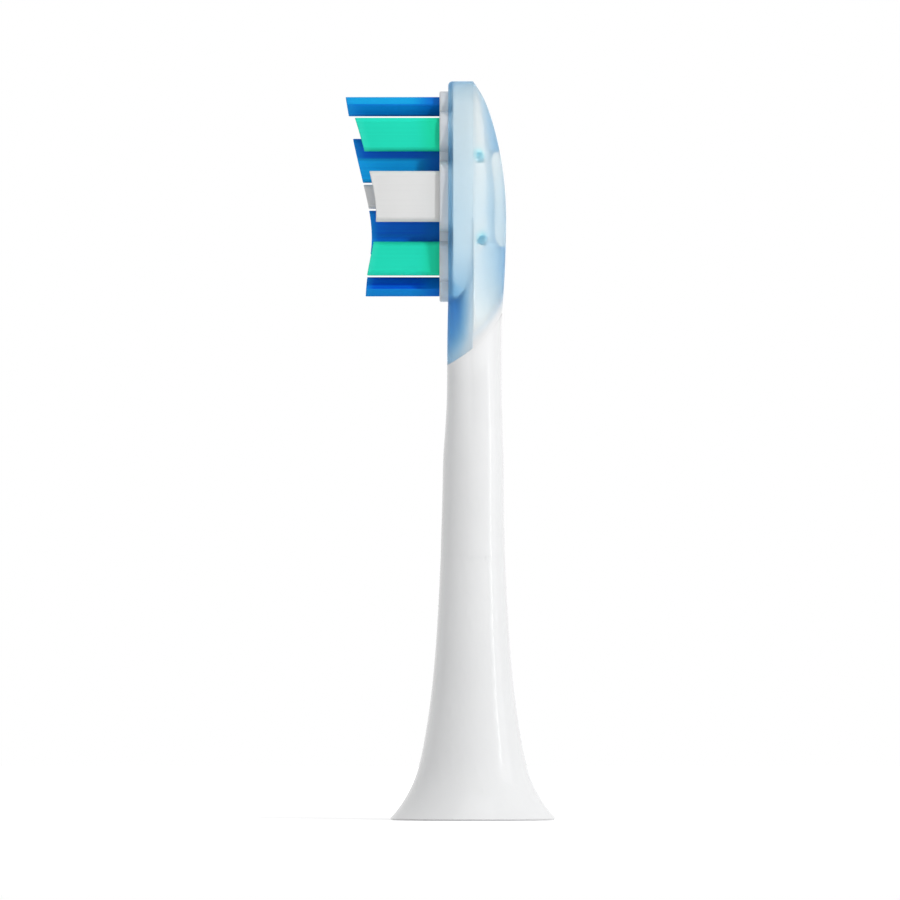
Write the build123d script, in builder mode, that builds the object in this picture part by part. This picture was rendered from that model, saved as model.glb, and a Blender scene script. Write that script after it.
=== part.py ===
"""Push-on head of an electric toothbrush, in millimetres.

The origin is the centre of the base ring, +Z runs up the stem and the bristles point towards -X.
The white stem is moulded with a core that reaches up inside the head. A soft blue shell is moulded
over the core, a lobed carrier plate sits in the shell's front, and the bristle tufts are fused behind
the plate. A bush inside the stem takes the handle's drive shaft, and a leaf spring holds the shaft.
"""
import os
from functools import partial
from math import hypot, sqrt

from build123d import *

# Stem: a turned bell that narrows to the shank
base_radius = 8.41
base_edge = 0.12
flare_points = [(7.0, 2.0), (5.97, 4.0), (4.94, 8.0), (4.3, 12.2), (3.6, 20.3), (3.2, 29.0)]
shank_radius = 3.02
shank_height = 36.0
rim_width = 0.9
bell_wall = 1.05
bell_depth = 6.0

# Neck and head: their lengths up from the shank, and the head's section at its widest level
neck_length = 25.0
crown_height = 14.0
head_width = 11.9
side_depth = 2.5
dome_depth = 3.38
rim_fillet = 0.45
crown_shoulders = [(2.88, 8.0), (1.9, 3.85)]
tip_depth = 0.6
tip_drop = 0.85
round_split = 10.0

# Neck sections: drop below the widest level, front, half width, back and corner radius
neck_sections = [
    (20.0, 2.68, 2.86, 2.95, 2.2),
    (16.0, 2.6, 2.92, 2.91, 2.1),
    (12.5, 2.59, 3.3, 2.91, 1.75),
    (10.0, 2.55, 3.9, 2.97, 1.15),
    (7.5, 2.5, 4.62, 3.12, 0.6),
    (4.0, 2.5, 5.45, 3.3, rim_fillet),
]

# White core under the blue shell: how thick the shell is over its sides, shoulders, back and pad
shell_sides = 0.6
shell_shoulders = 0.38
shell_back = 1.2
shell_over_pad = 0.4
shell_front = 0.5
back_flatness = 2.5
core_low_half = 3.0
undercut_drop = 8.0
undercut_rise = 1.4
undercut_inset = 0.3
undercut_end = 0.35
shoulder_drop = 4.0
tongue_side = 0.05
pad_height = 9.6
pad_width = 6.4
pad_corner = 1.5
pad_drop = 12.0
pit_radius = 0.55
pit_depth = 0.7
pit_spread = 9.2
pit_height = 8.4

# Tongue at the last five neck sections and the widest level: its front, how far its rounded front stands
# in from the neck's side, and how thick the shell is over its flanks and its back
tongue_fits = [
    (2.3, 0.2, 0.08, 0.08),
    (1.9, 0.32, 0.1, 0.1),
    (1.5, 0.42, 0.22, 0.25),
    (1.5, 0.58, 0.36, 0.55),
    (1.5, 1.1, 0.42, 0.85),
    (1.5, 1.4, 0.42, shell_back),
]

# Slanted line where the shell ends on the neck: forward and up from the widest level
ramp_front = (-3.6, -15.3)
ramp_middle = (-0.1, -13.2)
ramp_back = (4.4, -6.1)

# Carrier plate and its lobes, in heights from the middle of the bristle field
field_drop = 11.73
plate_proud = 0.89
plate_edge = 0.15
seat_clearance = 0.03
lobe_wall = 0.95
lobe_step = 1.15
spine_step = 0.8
end_lobe_half_width = 2.4
end_lobe_reach = 10.69
green_lobe_reach = 8.6
green_lobe_root = 4.35
white_lobe_reach = 3.55
lobe_corner = 1.5

# Tufts: footprints in the plate, fused heads behind it and the two trimmed contours
tuft_margin = 0.55
tuft_roundness = 0.33
tuft_gap = 0.34
middle_gap = 0.36
hole_clearance = 0.02
head_flange = 0.08
head_thickness = 0.45
end_tuft_width = 3.2
end_tuft_length = 1.96
end_tuft_inset = 0.56
end_tuft_ridge = 0.73
end_tuft_point = 0.7
end_tuft_corner = 0.25
green_tuft_width = 1.5
green_tuft_inset = 0.6
green_tuft_lift = 0.22
white_tuft_width = 1.65
white_tuft_inset = 0.96
middle_white_length = 2.44
middle_blue_length = 4.47
middle_spacing = 0.19
trim_end = 10.6
outer_trim = [(trim_end, 9.5), (8.0, 8.6), (2.6, 7.13), (-1.7, 6.44), (-8.0, 7.36), (-trim_end, 7.7)]
middle_trim = [(trim_end, 9.62), (5.9, 8.8), (1.4, 7.77), (-4.6, 6.9), (-8.2, 7.35), (-trim_end, 7.54)]

# Bush for the drive shaft
socket_radius = 2.6
socket_length = 18.0
socket_flange_radius = 3.6
socket_flange = 1.0
socket_lead = 0.3
press_clearance = 0.02
socket_headroom = 0.2
shaft_radius = 1.75
tip_radius = 1.35
tip_flat = 1.0
mouth_chamfer = 0.35
guide_length = 9.0
key_width = 0.9
key_height = 0.35
key_length = 4.0

# Leaf spring in its groove beside the shaft's flat
clip_width = 1.4
clip_strip = 0.2
clip_foot = 1.0
clip_bow = 0.4
clip_clearance = 0.05
clip_depth = 0.45
clip_shelf = 0.4

# Levels and places that follow from the sizes above
widest_z = shank_height + neck_length
head_top = widest_z + crown_height
head_half_width = head_width / 2
dome_centre = -(head_half_width**2 - dome_depth**2) / (2 * dome_depth)
core_front = side_depth - shell_front
head_radius = dome_depth - dome_centre
undercut_z = widest_z - undercut_drop
field_z = head_top - field_drop
plate_front = side_depth + plate_proud
white_lobe_half = head_half_width - lobe_wall
green_lobe_half = white_lobe_half - lobe_step
spine_half = green_lobe_half - spine_step
socket_top = bell_depth + socket_length
flange_z = bell_depth - socket_flange
guide_top = flange_z + guide_length
groove_floor = tip_flat + clip_depth


def round_section(z, radius):
    """A circle at height z, kept as the six edges that a neck section has."""
    turns = [-90, 90, 90 + round_split, 180 - round_split, 180 + round_split, 270 - round_split, 270]
    arcs = [
        Edge.make_circle(radius, Plane.XY.offset(z), start, stop) for start, stop in zip(turns, turns[1:])
    ]
    return Face(Wire(arcs))


def neck_section(z, front, half_width, back, corner):
    """A section at height z: a flat front with round corners, side walls to X = 0 and an arched back."""
    with BuildSketch(Plane.XY.offset(z)) as section:
        with BuildLine():
            Line((-front, corner - half_width), (-front, half_width - corner))
            TangentArc((-front, half_width - corner), (corner - front, half_width), tangent=(0, 1))
            Line((corner - front, half_width), (0, half_width))
            ThreePointArc((0, half_width), (back, 0), (0, -half_width))
            Line((0, -half_width), (corner - front, -half_width))
            TangentArc((corner - front, -half_width), (-front, corner - half_width), tangent=(-1, 0))
        make_face()
    return section.sketch


def tongue_section(z, half_width, back, fit):
    """The tongue at height z: an elliptic front, a small step out at the crease, and an arched back."""
    front, front_inset, flank_cover, back_cover = fit
    narrow, wide = half_width - front_inset, half_width - flank_cover
    with BuildSketch(Plane.XY.offset(z)) as section:
        with BuildLine():
            EllipticalCenterArc((tongue_side, 0), tongue_side + front, narrow, 90, arc_size=180)
            Line((tongue_side, -narrow), (tongue_side, -wide))
            ThreePointArc((tongue_side, -wide), (back - back_cover, 0), (tongue_side, wide))
            Line((tongue_side, wide), (tongue_side, narrow))
        make_face()
    return section.sketch


def half_chord(depth):
    """Half the head's width where its back stands out by depth from X = 0."""
    return sqrt(depth**2 - 2 * dome_centre * depth)


def drawn_in(point, inset):
    """The same point, nearer by inset to the middle of the head's widest level."""
    across, z = point
    share = 1 - inset / hypot(across, z - widest_z)
    return (across * share, widest_z + (z - widest_z) * share)


def crown_edge(inset):
    """Right half of the head's front outline, from its widest level to just under the tip."""
    levels = [(dome_depth, crown_height), *crown_shoulders, (tip_depth, tip_drop)]
    return [drawn_in((half_chord(depth), head_top - drop), inset) for depth, drop in levels]


def mirrored(points):
    """The same points on the other side, in the order that carries on round the outline."""
    return [(-y, z) for y, z in reversed(points)]


def dome(inset, flatness=1, slimness=1):
    """Turned form of the head's back, drawn in, flattened by a farther axis and slimmed by a share."""
    axis_x = flatness * dome_centre
    over_tip = [(tip_depth, tip_drop), (0, 0), (-tip_depth, -tip_drop)]
    levels = [(dome_depth, crown_height), *crown_shoulders, *over_tip]
    edge = [drawn_in((depth, head_top - drop), inset) for depth, drop in levels]
    back = [(slimness * depth, z) for depth, z in edge]
    with BuildPart() as form:
        with BuildSketch(Plane.XZ):
            with BuildLine():
                Spline(*back, tangents=[(0, 1), (-slimness * tip_depth, tip_drop)])
                Polyline(
                    back[-1],
                    (axis_x, back[-1][1]),
                    (axis_x, shank_height),
                    (back[0][0], shank_height),
                    back[0],
                )
            make_face()
        revolve(axis=Axis((axis_x, 0, 0), (0, 0, 1)))
    return form.part


def lobed_outline(grow):
    """Draws the carrier plate's lobes on the YZ plane at the middle of the field, grown by a clearance."""
    green_height = green_lobe_reach - green_lobe_root
    green_middle = (green_lobe_reach + green_lobe_root) / 2
    with Locations((0, field_z)):
        RectangleRounded(2 * end_lobe_half_width, 2 * end_lobe_reach, lobe_corner)
        RectangleRounded(2 * white_lobe_half, 2 * white_lobe_reach, lobe_corner)
        Rectangle(2 * spine_half, 2 * green_middle)
    with Locations((0, field_z + green_middle), (0, field_z - green_middle)):
        RectangleRounded(2 * green_lobe_half, green_height, lobe_corner)
    if grow > 0:
        offset(amount=grow, mode=Mode.REPLACE)


def footprint(centre_y, width, span, grow):
    """Draws one tuft's rounded outline on the YZ plane."""
    low, high = span
    with Locations((centre_y, field_z + (low + high) / 2)):
        corner = tuft_roundness * min(width, high - low)
        RectangleRounded(width + 2 * grow, high - low + 2 * grow, corner + grow)


def end_footprint(hand, grow):
    """Draws the upper (1) or lower (-1) end tuft's outline, with a blunt point at each side."""
    ridge = field_z + hand * (end_tuft_top - end_tuft_ridge)
    outer = field_z + hand * (end_tuft_top + grow)
    inner = field_z + hand * (end_tuft_top - end_tuft_length - grow)
    outer_slant = end_tuft_point / end_tuft_ridge
    inner_slant = end_tuft_point / (end_tuft_length - end_tuft_ridge)
    half = end_tuft_width / 2 + grow
    outer_half = half - outer_slant * abs(outer - ridge)
    inner_half = half - inner_slant * abs(inner - ridge)
    corners = [(half, ridge), (outer_half, outer), (-outer_half, outer)]
    corners += [(-half, ridge), (-inner_half, inner), (inner_half, inner)]
    Polygon(*corners, align=None)
    fillet(vertices(), radius=end_tuft_corner + grow)


def flipped(span):
    """The same span on the other side of the middle of the field."""
    low, high = span
    return (-high, -low)


# Where each tuft stands: middle of its footprint, width and span
green_y = green_lobe_half - tuft_margin - green_tuft_width / 2
white_y = white_lobe_half - tuft_margin - white_tuft_width / 2
middle_outer = green_y - green_tuft_width / 2 - tuft_gap
middle_width = middle_outer - middle_gap / 2
middle_y = middle_gap / 2 + middle_width / 2
end_tuft_top = end_lobe_reach - end_tuft_inset
green_tuft_span = (green_lobe_root + green_tuft_lift, green_lobe_reach - green_tuft_inset)
white_tuft_span = (white_tuft_inset - white_lobe_reach, white_lobe_reach - white_tuft_inset)
middle_white_span = (-middle_white_length / 2, middle_white_length / 2)
middle_blue_low = middle_white_length / 2 + middle_spacing
middle_blue_span = (middle_blue_low, middle_blue_low + middle_blue_length)

# Each tuft's outline, as a function of how far it is grown, and its trimmed contour
tufts = {
    "tuft_end_top": (partial(end_footprint, 1), middle_trim),
    "tuft_end_bottom": (partial(end_footprint, -1), middle_trim),
}
for side, hand in (("left", -1), ("right", 1)):
    green_at, white_at, middle_at = hand * green_y, hand * white_y, hand * middle_y
    places = {
        "green_top": (green_at, green_tuft_width, green_tuft_span, outer_trim),
        "green_bottom": (green_at, green_tuft_width, flipped(green_tuft_span), outer_trim),
        "white": (white_at, white_tuft_width, white_tuft_span, outer_trim),
        "mid_top": (middle_at, middle_width, middle_blue_span, middle_trim),
        "mid_white": (middle_at, middle_width, middle_white_span, middle_trim),
        "mid_bottom": (middle_at, middle_width, flipped(middle_blue_span), middle_trim),
    }
    for place, (*sizes, contour) in places.items():
        tufts[f"tuft_{place}_{side}"] = (partial(footprint, *sizes), contour)

os.makedirs("parts", exist_ok=True)

# Head above its widest level: an outline with straight walls, cut behind by the dome
with BuildPart() as crown:
    with BuildSketch(Plane.YZ.offset(-side_depth)):
        with BuildLine():
            edge = crown_edge(0)
            Spline(*edge, (0, head_top), *mirrored(edge), tangents=[(0, 1), (0, -1)])
            Line(mirrored(edge)[-1], edge[0])
        make_face()
    extrude(amount=side_depth + 2 * dome_depth)
    add(dome(0), mode=Mode.INTERSECT)
    fillet(faces().filter_by(Plane.YZ).sort_by(Axis.X)[0].edges().sort_by(Axis.Z)[1:], radius=rim_fillet)

# Outer form of the neck and head
widest_section = (0, side_depth, head_half_width, dome_depth, rim_fillet)
with BuildPart() as outer_form:
    loft(
        [round_section(shank_height, shank_radius)]
        + [neck_section(widest_z - drop, *sizes) for drop, *sizes in [*neck_sections, widest_section]]
    )
    add(crown.part)

# All the room above the slanted line where the shell ends
with BuildPart() as above_ramp:
    with BuildSketch(Plane.XZ):
        with BuildLine():
            ramp = [(x, widest_z + rise) for x, rise in (ramp_front, ramp_middle, ramp_back)]
            ThreePointArc(*ramp)
            Polyline(
                ramp[2],
                (ramp_back[0], head_top + side_depth),
                (ramp_front[0], head_top + side_depth),
                ramp[0],
            )
        make_face()
    extrude(amount=head_width, both=True)

# White neck up to that line
with BuildPart() as white_neck:
    add(outer_form.part)
    add(above_ramp.part, mode=Mode.SUBTRACT)

# Core inside the head, undercut in front where the shell is thick
with BuildPart() as core:
    with BuildSketch(Plane.YZ.offset(-core_front)):
        with BuildLine():
            edge = [(core_low_half, undercut_z), *crown_edge(shell_sides)]
            Spline(*edge, (0, head_top - shell_sides), *mirrored(edge))
            Line(mirrored(edge)[-1], edge[0])
        make_face()
    extrude(amount=core_front + dome_depth)
    with BuildSketch(Plane.XZ):
        with BuildLine():
            Polyline(
                (-core_front, undercut_z + undercut_inset),
                (undercut_inset - core_front, undercut_z),
                (-undercut_end, undercut_z + undercut_rise),
                (tongue_side, undercut_z + undercut_rise),
                (tongue_side, widest_z - shoulder_drop),
                (dome_depth, widest_z),
                (dome_depth, head_top),
                (-core_front, head_top),
                close=True,
            )
        make_face()
    extrude(amount=head_width, both=True, mode=Mode.INTERSECT)
    add(dome(shell_shoulders), mode=Mode.INTERSECT)
    core_slimness = (dome_depth - shell_back) / (dome_depth - shell_shoulders)
    add(dome(shell_shoulders, back_flatness, core_slimness), mode=Mode.INTERSECT)

# Tongue between the neck and the core, with a rounded front
with BuildPart() as tongue:
    tongue_levels = zip([*neck_sections[1:], widest_section], tongue_fits)
    tongue_faces = [
        tongue_section(widest_z - drop, half_width, back, fit)
        for (drop, _, half_width, back, _), fit in tongue_levels
    ]
    loft(tongue_faces)

# Raised pad on the back of the core, close under the shell, between four pits that anchor the shell
with BuildPart() as pad:
    with BuildSketch(Plane.YZ):
        with Locations((0, head_top - pad_drop)):
            RectangleRounded(pad_width, pad_height, pad_corner)
    extrude(amount=dome_depth)
    add(dome(shell_over_pad), mode=Mode.INTERSECT)

with BuildPart() as core_in_shell:
    add(core.part)
    add(tongue.part)
    add(pad.part)
    pit_x = dome_centre + sqrt((head_radius - shell_shoulders) ** 2 - (pit_spread / 2) ** 2)
    with BuildSketch(Plane.YZ.offset(pit_x - pit_depth)):
        with GridLocations(pit_spread, pit_height, 2, 2):
            with Locations((0, head_top - pad_drop)):
                Circle(pit_radius)
    extrude(amount=dome_depth, mode=Mode.SUBTRACT)

# Stem: bell, shank and neck up to the ramp, with the core and the seat of the bush
with BuildPart() as stem:
    with BuildSketch(Plane.XZ):
        with BuildLine():
            Spline((base_radius, base_edge), *flare_points, (shank_radius, shank_height))
            Polyline(
                (shank_radius, shank_height),
                (0, shank_height),
                (0, 0),
                (base_radius - base_edge, 0),
                (base_radius, base_edge),
            )
        make_face()
    revolve(axis=Axis.Z)
    add(white_neck.part)
    add(core_in_shell.part)
    with BuildSketch(Plane.XZ):
        with BuildLine():
            mouth = base_radius - rim_width
            waist, waist_z = flare_points[1]
            Spline((mouth, 0), (waist - bell_wall, waist_z), (waist - 2 * bell_wall, bell_depth))
            Polyline((waist - 2 * bell_wall, bell_depth), (0, bell_depth), (0, 0), (mouth, 0))
        make_face()
    revolve(axis=Axis.Z, mode=Mode.SUBTRACT)
    with BuildSketch(Plane.XY.offset(bell_depth)):
        Circle(socket_radius + press_clearance)
    extrude(amount=socket_length + socket_headroom, mode=Mode.SUBTRACT)
    with BuildSketch(Plane.XY.offset(bell_depth)):
        with Locations((-(socket_radius + key_height + press_clearance) / 2, 0)):
            Rectangle(socket_radius + key_height + press_clearance, key_width + 2 * press_clearance)
    extrude(amount=key_length + press_clearance, mode=Mode.SUBTRACT)
stem.part.label = "stem"
export_step(stem.part, "parts/stem.step")

# Soft shell over the core, open in front for the carrier plate
with BuildPart() as head_overmould:
    add(outer_form.part)
    add(above_ramp.part, mode=Mode.INTERSECT)
    add(core_in_shell.part, mode=Mode.SUBTRACT)
    with BuildSketch(Plane.YZ.offset(-core_front)):
        lobed_outline(seat_clearance)
    extrude(amount=-plate_front, mode=Mode.SUBTRACT)
head_overmould.part.label = "head_overmould"
export_step(head_overmould.part, "parts/head_overmould.step")

# Carrier plate with a hole for each tuft and a pocket behind it for the tuft's fused head
with BuildPart() as tuft_carrier:
    with BuildSketch(Plane.YZ.offset(-core_front)):
        lobed_outline(0)
    extrude(amount=core_front - plate_front)
    fillet(faces().sort_by(Axis.X)[0].edges(), radius=plate_edge)
    for draw_outline, _ in tufts.values():
        with BuildSketch(Plane.YZ.offset(-core_front)):
            draw_outline(hole_clearance)
        extrude(amount=-plate_front, mode=Mode.SUBTRACT)
        with BuildSketch(Plane.YZ.offset(-core_front)):
            draw_outline(head_flange + hole_clearance)
        extrude(amount=-head_thickness - hole_clearance, mode=Mode.SUBTRACT)
tuft_carrier.part.label = "tuft_carrier"
export_step(tuft_carrier.part, "parts/tuft_carrier.step")

# Tufts: bristle blocks cut to their contour, each with its fused head behind the plate
for name, (draw_outline, contour) in tufts.items():
    with BuildPart() as tuft:
        with BuildSketch(Plane.YZ.offset(-core_front)):
            draw_outline(0)
        extrude(amount=-2 * plate_front - contour[0][1])
        with BuildSketch(Plane.XZ):
            with BuildLine():
                ends = [(-plate_front - length, field_z + height) for height, length in contour]
                Spline(*ends)
                Polyline(ends[-1], (0, ends[-1][1]), (0, ends[0][1]), ends[0])
            make_face()
        extrude(amount=head_width, both=True, mode=Mode.INTERSECT)
        with BuildSketch(Plane.YZ.offset(-core_front)):
            draw_outline(head_flange)
        extrude(amount=-head_thickness)
    tuft.part.label = name
    export_step(tuft.part, f"parts/{name}.step")

# Bush: a flange under the bell's ceiling, a round guide, then a flat-sided bore with a spring groove
with BuildPart() as drive_socket:
    with BuildSketch(Plane.XY.offset(flange_z)):
        Circle(socket_flange_radius)
    extrude(amount=socket_flange)
    with BuildSketch(Plane.XY.offset(bell_depth)):
        Circle(socket_radius)
    extrude(amount=socket_length)
    chamfer(faces().sort_by(Axis.Z)[-1].edges(), length=socket_lead)
    with BuildSketch(Plane.XY.offset(bell_depth)):
        with Locations((-(socket_radius + key_height) / 2, 0)):
            Rectangle(socket_radius + key_height, key_width)
    extrude(amount=key_length)
    with BuildSketch(Plane.XY.offset(flange_z)):
        Circle(shaft_radius)
    extrude(amount=guide_length, mode=Mode.SUBTRACT)
    with BuildSketch(Plane.XY.offset(guide_top)):
        Circle(tip_radius)
        with Locations((tip_flat + tip_radius, 0)):
            Rectangle(2 * tip_radius, 2 * tip_radius, mode=Mode.SUBTRACT)
    extrude(amount=socket_top - guide_top, mode=Mode.SUBTRACT)
    with BuildSketch(Plane.XY.offset(guide_top + clip_shelf)):
        with Locations((groove_floor / 2, 0)):
            Rectangle(groove_floor, clip_width + 2 * clip_clearance)
    extrude(amount=socket_length, mode=Mode.SUBTRACT)
    mouth_edge = edges().filter_by(GeomType.CIRCLE).group_by(Axis.Z)[0].sort_by(SortBy.RADIUS)[0]
    chamfer(mouth_edge, length=mouth_chamfer)
drive_socket.part.label = "drive_socket"
export_step(drive_socket.part, "parts/drive_socket.step")

# Leaf spring: two feet flat on the groove's floor and a bow that leans into the bore
with BuildPart() as shaft_clip:
    with BuildSketch(Plane.XZ):
        with BuildLine():
            clip_low = guide_top + clip_shelf + clip_clearance
            clip_high = socket_top - clip_clearance
            clip_middle = (clip_low + clip_high) / 2
            inner = groove_floor - clip_strip
            Line((groove_floor, clip_low), (groove_floor, clip_low + clip_foot))
            ThreePointArc(
                (groove_floor, clip_low + clip_foot),
                (groove_floor - clip_bow, clip_middle),
                (groove_floor, clip_high - clip_foot),
            )
            Polyline(
                (groove_floor, clip_high - clip_foot),
                (groove_floor, clip_high),
                (inner, clip_high),
                (inner, clip_high - clip_foot),
            )
            ThreePointArc(
                (inner, clip_high - clip_foot),
                (inner - clip_bow, clip_middle),
                (inner, clip_low + clip_foot),
            )
            Polyline((inner, clip_low + clip_foot), (inner, clip_low), (groove_floor, clip_low))
        make_face()
    extrude(amount=clip_width / 2, both=True)
shaft_clip.part.label = "shaft_clip"
export_step(shaft_clip.part, "parts/shaft_clip.step")
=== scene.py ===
"""Electric toothbrush head: a glossy white stem, a frosted blue shell and tufts of nylon filaments.

Everything is worked out in millimetres in the part's own frame, +Z up the stem and the bristles
towards -X, and is put into the meshes in metres.
"""
import math

import bmesh
import bpy
import numpy as np
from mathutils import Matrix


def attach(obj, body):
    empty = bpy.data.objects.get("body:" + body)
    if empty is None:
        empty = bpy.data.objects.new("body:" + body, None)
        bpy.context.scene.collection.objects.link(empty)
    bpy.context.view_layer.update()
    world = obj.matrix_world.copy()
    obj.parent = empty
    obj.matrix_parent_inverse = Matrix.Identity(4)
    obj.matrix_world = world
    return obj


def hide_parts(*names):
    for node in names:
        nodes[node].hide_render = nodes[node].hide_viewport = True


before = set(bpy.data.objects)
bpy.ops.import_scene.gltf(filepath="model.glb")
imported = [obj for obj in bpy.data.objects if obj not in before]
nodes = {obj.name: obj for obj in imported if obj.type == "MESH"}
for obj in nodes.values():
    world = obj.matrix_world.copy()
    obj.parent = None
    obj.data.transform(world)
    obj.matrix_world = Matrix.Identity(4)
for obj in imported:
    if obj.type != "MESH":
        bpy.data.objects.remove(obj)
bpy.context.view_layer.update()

MM = 0.001

# Levels: top of the shank, widest place and tip of the head, and middle of the field of bristles
SHANK_TOP = 36.0
WIDEST_Z = 61.0
HEAD_TOP = 75.0
FIELD_Z = 63.27

# Dome of the head's back: half width and depth at the widest place, and the middle of its arc
HALF_WIDTH = 5.95
DOME_DEPTH = 3.38
DOME_CENTRE = -(HALF_WIDTH**2 - DOME_DEPTH**2) / (2 * DOME_DEPTH)

# Depth of the head's flat front, the rounding of its rim, and the radius of the round neck below
HEAD_FRONT = 2.5
RIM_FILLET = 0.45
NECK_RADIUS = 3.02

# Head and neck sections: height, front, half width, back and corner radius
NECK_SECTIONS = np.array([
    (SHANK_TOP, NECK_RADIUS, NECK_RADIUS, NECK_RADIUS, NECK_RADIUS),
    (41.0, 2.68, 2.86, 2.95, 2.2),
    (45.0, 2.6, 2.92, 2.91, 2.1),
    (48.5, 2.59, 3.3, 2.91, 1.75),
    (51.0, 2.55, 3.9, 2.97, 1.15),
    (53.5, HEAD_FRONT, 4.62, 3.12, 0.6),
    (57.0, HEAD_FRONT, 5.45, 3.3, RIM_FILLET),
    (WIDEST_Z, HEAD_FRONT, HALF_WIDTH, DOME_DEPTH, RIM_FILLET),
])
# Line up the middle of the head's back, as depths and heights, with one point past the tip for its lean
CROWN_BACK = np.array([
    (DOME_DEPTH, WIDEST_Z),
    (2.88, 67.0),
    (1.9, 71.15),
    (0.6, 74.15),
    (0.0, HEAD_TOP),
    (-0.6, 75.85),
])
# Place of the tip in it, samples of a curve, and how near counts as touching
CROWN_TIP = 4
CURVE_SAMPLES = 1500
TOUCHING = 1e-9

# Slanted line where the shell ends: three points of it, as depths and heights
RAMP = np.array([(-3.6, 45.7), (-0.1, 47.8), (4.4, 54.9)])
# First guess of the height where a place meets it, and how often the guess is bettered
RAMP_GUESS, RAMP_ROUNDS = 49.0, 30

# Places round half a section, as (zone, share), from the middle of the front to the middle of the back
FLAT, CORNER, WALL, ARCH = range(4)
ZONE_STEPS = {FLAT: 6, CORNER: 10, WALL: 5, ARCH: 28}
RING = np.array(
    [(zone, step / steps) for zone, steps in ZONE_STEPS.items() for step in range(steps)] + [(ARCH, 1.0)]
)


def spline_slopes(t, values, start=None, end=None):
    """Slopes at the knots of the cubic spline through values, with each end free or its slope given.

    They solve one equation a knot: the curvature is the same on both sides of an inner knot, and none
    at a free end.
    """
    step = np.diff(t)
    wide_step = step.reshape((-1,) + (1,) * (values.ndim - 1))
    rise = np.diff(values, axis=0) / wide_step
    inner = np.arange(1, len(t) - 1)
    matrix = np.zeros((len(t), len(t)))
    matrix[inner, inner - 1] = step[1:]
    matrix[inner, inner] = 2 * (step[:-1] + step[1:])
    matrix[inner, inner + 1] = step[:-1]
    matrix[0, :2] = (2, 1) if start is None else (1, 0)
    matrix[-1, -2:] = (1, 2) if end is None else (0, 1)
    right = np.zeros_like(values, dtype=float)
    right[1:-1] = 3 * (wide_step[1:] * rise[:-1] + wide_step[:-1] * rise[1:])
    right[0] = 3 * rise[0] if start is None else start
    right[-1] = 3 * rise[-1] if end is None else end
    return np.linalg.solve(matrix, right)


def spline(t, values, at, start=None, end=None):
    """Cubic spline through values at the knots t, read at any array of places (Hermite form)."""
    slopes = spline_slopes(t, values, start, end)
    span = np.clip(np.searchsorted(t, at, side="right") - 1, 0, len(t) - 2)
    step = t[span + 1] - t[span]
    u = (at - t[span]) / step
    extra = (Ellipsis,) + (None,) * (values.ndim - 1)
    u, step = u[extra], step[extra]
    return (
        (1 + 2 * u) * (1 - u) ** 2 * values[span]
        + u * (1 - u) ** 2 * step * slopes[span]
        + u**2 * (3 - 2 * u) * values[span + 1]
        + u**2 * (u - 1) * step * slopes[span + 1]
    )


def chords(points):
    """Distance along a row of points, from 0."""
    return np.concatenate([[0.0], np.cumsum(np.linalg.norm(np.diff(points, axis=0), axis=1))])


def crown_curves():
    """Dense samples of the head's front outline (half width, height) and of its back (depth, height).

    The back is the spline through its points, upright at its foot. The dome's arc gives each depth a half
    width, the square root of the depth squared less twice the centre times the depth, and the outline is
    the spline through these over the tip to the other side, upright at both feet.
    """
    up = np.array((0.0, 1.0))
    depth, height = CROWN_BACK[: CROWN_TIP + 1].T
    side = np.column_stack([np.sqrt(np.maximum(depth**2 - 2 * DOME_CENTRE * depth, 0)), height])
    whole = np.concatenate([side, side[-2::-1] * (-1, 1)])
    t = chords(whole)
    outline = spline(t, whole, np.linspace(0, t[CROWN_TIP], CURVE_SAMPLES), up, -up)
    t = chords(CROWN_BACK)
    lean = CROWN_BACK[-1] - CROWN_BACK[CROWN_TIP]
    lean = lean / np.linalg.norm(lean)
    back = spline(t, CROWN_BACK, np.linspace(0, t[CROWN_TIP], CURVE_SAMPLES), up, lean)
    return outline, back


OUTLINE, BACK = crown_curves()


def section_sizes(z):
    """Front, half width, corner, and the back arc's centre and radius of the section at each height.

    Up to the widest level they are splines of the height, and the arc runs through both sides and the back.
    Above it the half width and the depth follow the crown's curves, about the dome's own centre.
    """
    neck = spline(NECK_SECTIONS[:, 0], NECK_SECTIONS[:, 1:], np.minimum(z, WIDEST_Z))
    front, half, back, corner = np.moveaxis(neck, -1, 0)
    centre = (back**2 - half**2) / (2 * back)
    crown = z > WIDEST_Z
    half = np.where(crown, np.interp(z, OUTLINE[:, 1], OUTLINE[:, 0]), half)
    depth = np.interp(z, BACK[:, 1], BACK[:, 0])
    centre = np.where(crown, DOME_CENTRE, centre)
    radius = np.where(crown, depth - DOME_CENTRE, back - centre)
    return front, half, corner, centre, radius


def head_skin(zone, share, z):
    """Depth and place across of points on the outside of the neck or head.

    A section has a flat front, corners rounded by the corner radius, straight side walls and a
    back that is one arc. On the crown the corner follows the distance from the outline, so that
    it also runs over the tip.
    """
    front, half, corner, centre, radius = section_sizes(z)
    reach = np.minimum(corner, half)
    turn = share * math.pi / 2
    y = np.where(zone == FLAT, share * (half - reach), half - reach * (1 - np.sin(turn)))
    y = np.where(zone >= WALL, half, y)
    edge = np.minimum(half - y, corner)
    above = (z > WIDEST_Z) & (zone < WALL)
    if above.any():
        gap = np.hypot(y[above][:, None] - OUTLINE[:, 0], z[above][:, None] - OUTLINE[:, 1]).min(axis=1)
        edge[above] = np.minimum(np.where(half[above] - y[above] < TOUCHING, 0, gap), corner[above])
    x = corner - front - np.sqrt(np.maximum(corner**2 - (corner - edge) ** 2, 0))
    crease = centre + np.sqrt(np.maximum(radius**2 - half**2, 0))
    x = np.where(zone == WALL, (corner - front) * (1 - share) + crease * share, x)
    swing = np.arctan2(half, crease - centre) * (1 - share)
    x = np.where(zone == ARCH, centre + radius * np.cos(swing), x)
    y = np.where(zone == ARCH, radius * np.sin(swing), y)
    return x, y


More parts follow.
